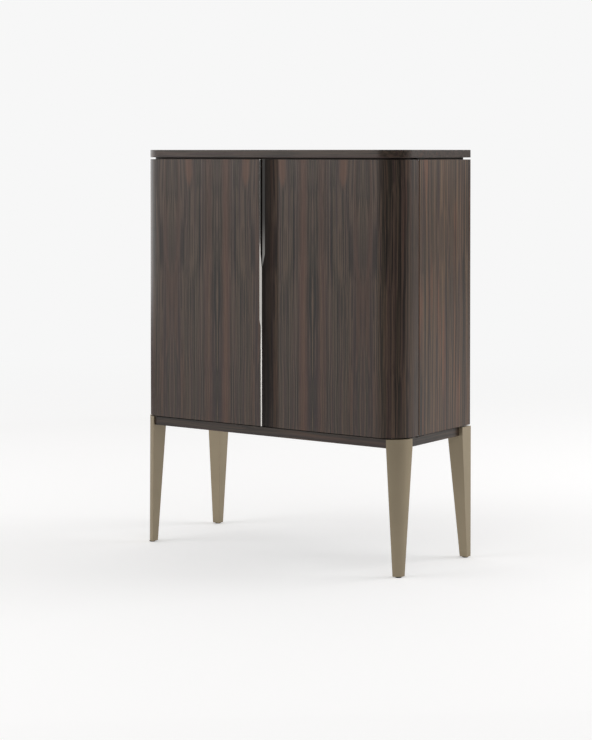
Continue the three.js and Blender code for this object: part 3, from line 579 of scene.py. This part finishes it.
# Back board: a thin veneered board, laid in a rebate of the case and held by blackened countersunk
# screws all round, five along the top and the bottom and three more up each side.
BACK_SCREW_INSET = 0.012
BACK_ROW, BACK_COLUMN = (0, 0.25, 0.5, 0.75, 1), (0.25, 0.5, 0.75)
low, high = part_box("case_back")
left, right = low.x + BACK_SCREW_INSET, high.x - BACK_SCREW_INSET
bottom, top = low.z + BACK_SCREW_INSET, high.z - BACK_SCREW_INSET
spots = [(between(left, right, share), high.y + SCREW_PROUD, z)
         for share in BACK_ROW for z in (bottom, top)]
spots += [(x, high.y + SCREW_PROUD, between(bottom, top, share))
          for x in (left, right) for share in BACK_COLUMN]
drive_screws("back_board_screws", small_head, spots, (0, 1, 0), "cabinet", black_steel_and_gap_shade)
for head in (small_head, tiny_head):
    bpy.data.objects.remove(head)

# Shelf pins: turned rods of zinc-plated steel with rounded ends. Half of each sits in a bored hole
# in the case side, and the loose shelves rest on the other half.
PIN_ROUND = 0.0006
for node in [name for name in nodes if "_pin_" in name]:
    paint(zinc_steel, node)
    ease(node, "cabinet", PIN_ROUND)

# Stemware rails: T bars of folded steel with the same bronze coat as the legs, fixed under the
# case top so that the feet of glasses slide in between them.
for node in [name for name in nodes if name.startswith("stemware_rail")]:
    paint(bronze_coat, node)
    ease(node, "cabinet", LEG_ROUND)

# Glass shelf: clear float glass, its edges ground to a fine bevel, resting on four pins.
# The ground edges scatter the light and look a dull sea green.
GROUND_BEVEL = 0.001
GROUND_ROUGHNESS, GLASS_IOR = 0.35, 1.52
material, tree = new_material("clear_float_glass")
normal = add_node(tree, "ShaderNodeTexCoord").outputs["Normal"]
upright = add_node(tree, "ShaderNodeSeparateXYZ", None, {0: normal}).outputs[2]
level = add_node(tree, "ShaderNodeMath", {"operation": "ABSOLUTE"}, {0: upright}).outputs[0]
ground = add_node(tree, "ShaderNodeMapRange", None, {
    "Value": level, "From Min": 0.85, "From Max": 0.99, "To Min": 1.0, "To Max": 0.0}).outputs[0]
rough = add_node(tree, "ShaderNodeMath", {"operation": "MULTIPLY"}, {
    0: ground, 1: GROUND_ROUGHNESS})
tone = add_node(tree, "ShaderNodeMix", {"data_type": "RGBA"}, {
    0: ground, 6: linear("#eef4f1"), 7: linear("#b4d2c6")})
shader = add_node(tree, "ShaderNodeBsdfPrincipled", None, {
    "Base Color": tone.outputs[2], "Roughness": rough.outputs[0], "IOR": GLASS_IOR,
    "Transmission Weight": 1.0})
add_node(tree, "ShaderNodeOutputMaterial", None, {"Surface": shader.outputs[0]})
paint(material, "glass_shelf")
ease("glass_shelf", "cabinet", GROUND_BEVEL)

# Studio floor: seamless, matt and pale, faintly mottled, wide enough to run out of every view. The
# camera sees the lit floor lifted to the room's near white, and only that white beyond a few metres.
NEAR_WHITE = "#f7f7f7"
FLOOR_SIZE = 80
FLOOR_LIFT = 0.28
FADE_START, FADE_END = 1.5, 6.0
MOTTLES_PER_METRE = 0.6
bpy.ops.object.select_all(action="DESELECT")
bpy.ops.mesh.primitive_plane_add(size=FLOOR_SIZE, location=(0, 0, 0))
floor = bpy.context.active_object
floor.name = "studio_floor"
material, tree = new_material("pale_studio_floor")
rays = add_node(tree, "ShaderNodeLightPath").outputs
place = add_node(tree, "ShaderNodeTexCoord").outputs["Object"]
mottle = add_node(tree, "ShaderNodeTexNoise", None, {"Vector": place, "Scale": MOTTLES_PER_METRE})
tone = add_node(tree, "ShaderNodeMix", {"data_type": "RGBA"}, {
    0: mottle.outputs["Fac"], 6: linear("#ededee"), 7: linear("#efeff0")})
shader = add_node(tree, "ShaderNodeBsdfPrincipled", None, {
    "Base Color": tone.outputs[2], "Roughness": 0.9, "Specular IOR Level": 0.2})
seen = add_node(tree, "ShaderNodeMath", {"operation": "MULTIPLY"}, {
    0: rays["Is Camera Ray"], 1: FLOOR_LIFT})
lift = add_node(tree, "ShaderNodeEmission", None, {
    "Color": linear(NEAR_WHITE), "Strength": seen.outputs[0]})
near = add_node(tree, "ShaderNodeAddShader", None, {0: shader.outputs[0], 1: lift.outputs[0]})
far = add_node(tree, "ShaderNodeEmission", None, {"Color": linear(NEAR_WHITE), "Strength": 1.0})
reach = add_node(tree, "ShaderNodeVectorMath", {"operation": "LENGTH"}, {0: place})
fade = add_node(tree, "ShaderNodeMapRange", SOFT_ENDS, {
    "Value": reach.outputs["Value"], "From Min": FADE_START, "From Max": FADE_END})
share = add_node(tree, "ShaderNodeMath", {"operation": "MULTIPLY"}, {
    0: fade.outputs[0], 1: rays["Is Camera Ray"]})
both = add_node(tree, "ShaderNodeMixShader", None, {
    0: share.outputs[0], 1: near.outputs[0], 2: far.outputs[0]})
add_node(tree, "ShaderNodeOutputMaterial", None, {"Surface": both.outputs[0]})
floor.data.materials.append(material)

# Studio light: a pale room all round, with a wide soft box at the left front and one at the right
# back. The camera, reflections and glass see the room's near white.
ROOM_GLOW = 0.75
MIDDLE_OF_CABINET = (0, 0, 0.8)
world = bpy.data.worlds.new("pale_room")
scene.world = world
world.use_nodes = True
tree = world.node_tree
tree.nodes.clear()
rays = add_node(tree, "ShaderNodeLightPath").outputs
mirrored = add_node(tree, "ShaderNodeMath", {"operation": "MAXIMUM"}, {
    0: rays["Is Glossy Ray"], 1: rays["Is Transmission Ray"]})
seen = add_node(tree, "ShaderNodeMath", {"operation": "MAXIMUM"}, {
    0: rays["Is Camera Ray"], 1: mirrored.outputs[0]})
glow = add_node(tree, "ShaderNodeBackground", None, {
    "Color": linear("#f0efed"), "Strength": ROOM_GLOW})
backdrop = add_node(tree, "ShaderNodeBackground", None, {
    "Color": linear(NEAR_WHITE), "Strength": 1.0})
both = add_node(tree, "ShaderNodeMixShader", None, {
    0: seen.outputs[0], 1: glow.outputs[0], 2: backdrop.outputs[0]})
add_node(tree, "ShaderNodeOutputWorld", None, {"Surface": both.outputs[0]})


def soft_box(name, place, size, power):
    """A square lamp that faces the middle of the cabinet."""
    data = bpy.data.lights.new(name, "AREA")
    data.size = size
    data.energy = power
    lamp = bpy.data.objects.new(name, data)
    lamp.location = place
    aim = Vector(MIDDLE_OF_CABINET) - Vector(place)
    lamp.rotation_euler = aim.to_track_quat("-Z", "Y").to_euler()
    scene.collection.objects.link(lamp)


soft_box("left_front_box", (-4.7, -5.4, 3.4), size=3.8, power=135)
soft_box("right_back_box", (3.4, 3.0, 2.6), size=2.5, power=68)

# Screen and cloth behind the camera: a tall screen of black velvet, paler above eye level, and a
# dark cloth on the floor before it. They give the rounded corner at the front right its dark core,
# and keep the pale floor's gleam off it.
WALL_SIDES = 96
CLOTH_TURN = math.radians(40)
CLOTH_MIDDLE, CLOTH_WIDTH, CLOTH_DEPTH, CLOTH_LIFT = 2.55, 3.6, 1.4, 0.004


def glowing(name, grey, upper_grey=None, change=(0.0, 1.0), strength=1.0):
    """An even glow for a wall. With an upper grey, the grey changes between two heights."""
    material, tree = new_material(name)
    tone = linear(grey)
    if upper_grey:
        place = add_node(tree, "ShaderNodeTexCoord").outputs["Object"]
        high = add_node(tree, "ShaderNodeSeparateXYZ", None, {0: place}).outputs[2]
        share = add_node(tree, "ShaderNodeMapRange", SOFT_ENDS, {
            "Value": high, "From Min": change[0], "From Max": change[1]}).outputs[0]
        tone = add_node(tree, "ShaderNodeMix", {"data_type": "RGBA"}, {
            0: share, 6: tone, 7: linear(upper_grey)}).outputs[2]
    shader = add_node(tree, "ShaderNodeEmission", None, {"Color": tone, "Strength": strength})
    add_node(tree, "ShaderNodeOutputMaterial", None, {"Surface": shader.outputs[0]})
    return material


def only_reflected(thing, finish):
    """Gives a wall or cloth of the studio its finish and shows it to reflections alone."""
    thing.data.materials.append(finish)
    thing.visible_camera = False
    thing.visible_diffuse = False
    thing.visible_transmission = False
    thing.visible_shadow = False


def reflected_wall(name, finish, distance, heights, turns):
    """A bent wall round the object, between two heights and two turns from the front."""
    bottom, top = heights
    bpy.ops.object.select_all(action="DESELECT")
    bpy.ops.mesh.primitive_cylinder_add(vertices=WALL_SIDES, radius=distance, depth=top - bottom,
                                        end_fill_type="NOTHING", location=(0, 0, (bottom + top) / 2))
    wall = bpy.context.active_object
    wall.name = name
    bpy.ops.object.transform_apply(location=True, rotation=False, scale=False)
    bpy.ops.object.mode_set(mode="EDIT")
    bpy.ops.mesh.select_all(action="DESELECT")
    bpy.ops.object.mode_set(mode="OBJECT")
    for face in wall.data.polygons:
        turn = math.degrees(math.atan2(face.center.x, -face.center.y))
        face.select = not turns[0] < turn < turns[1]
    bpy.ops.object.mode_set(mode="EDIT")
    bpy.ops.mesh.delete(type="FACE")
    bpy.ops.object.mode_set(mode="OBJECT")
    only_reflected(wall, finish)


velvet = glowing("black_velvet", "#101010", "#2c2c2c", change=(0.80, 0.90))
reflected_wall("dark_screen", velvet, distance=3.2, heights=(0.1, 2.8), turns=(-15, 92))
bpy.ops.object.select_all(action="DESELECT")
bpy.ops.mesh.primitive_plane_add(size=1, location=(0, -CLOTH_MIDDLE, CLOTH_LIFT))
cloth = bpy.context.active_object
cloth.name = "dark_cloth"
cloth.scale = (CLOTH_WIDTH, CLOTH_DEPTH, 1)
bpy.ops.object.transform_apply(location=True, rotation=True, scale=True)
cloth.rotation_euler = (0, 0, CLOTH_TURN)
bpy.ops.object.transform_apply(location=True, rotation=True, scale=True)
only_reflected(cloth, velvet)

# Studio ends: dim bands at eye level, at the left front and the right, where the far ends of a long
# studio show. They shade the upper part of the polished trims and the case's right side.
reflected_wall("dim_horizon_left", glowing("grey_horizon", "#585858"),
               distance=3.3, heights=(0.84, 1.50), turns=(-75, -15))
reflected_wall("dim_horizon_right", glowing("grey_horizon_right", "#3c3c3c"),
               distance=3.3, heights=(0.80, 1.50), turns=(92, 180))

# Panel and board at the left: a bright panel gives the rounded corner on that side its soft gleam,
# and a low dark board keeps that gleam off the legs.
reflected_wall("gleam_panel", glowing("bright_panel", "#ffffff", strength=1.7),
               distance=3.3, heights=(0.55, 2.4), turns=(-120, -44))
reflected_wall("low_board", glowing("black_board", "#101010"),
               distance=3.2, heights=(-0.1, 0.55), turns=(-140, -52))

# Card by the camera: a narrow grey card to the right of it shows in the facet of the right door's
# trim, which is brightest at its foot.
reflected_wall("facet_card", glowing("grey_card", "#868686", "#464646", change=(0.78, 0.98)),
               distance=3.1, heights=(0.70, 1.50), turns=(14, 34))

scene.view_settings.view_transform = "Standard"
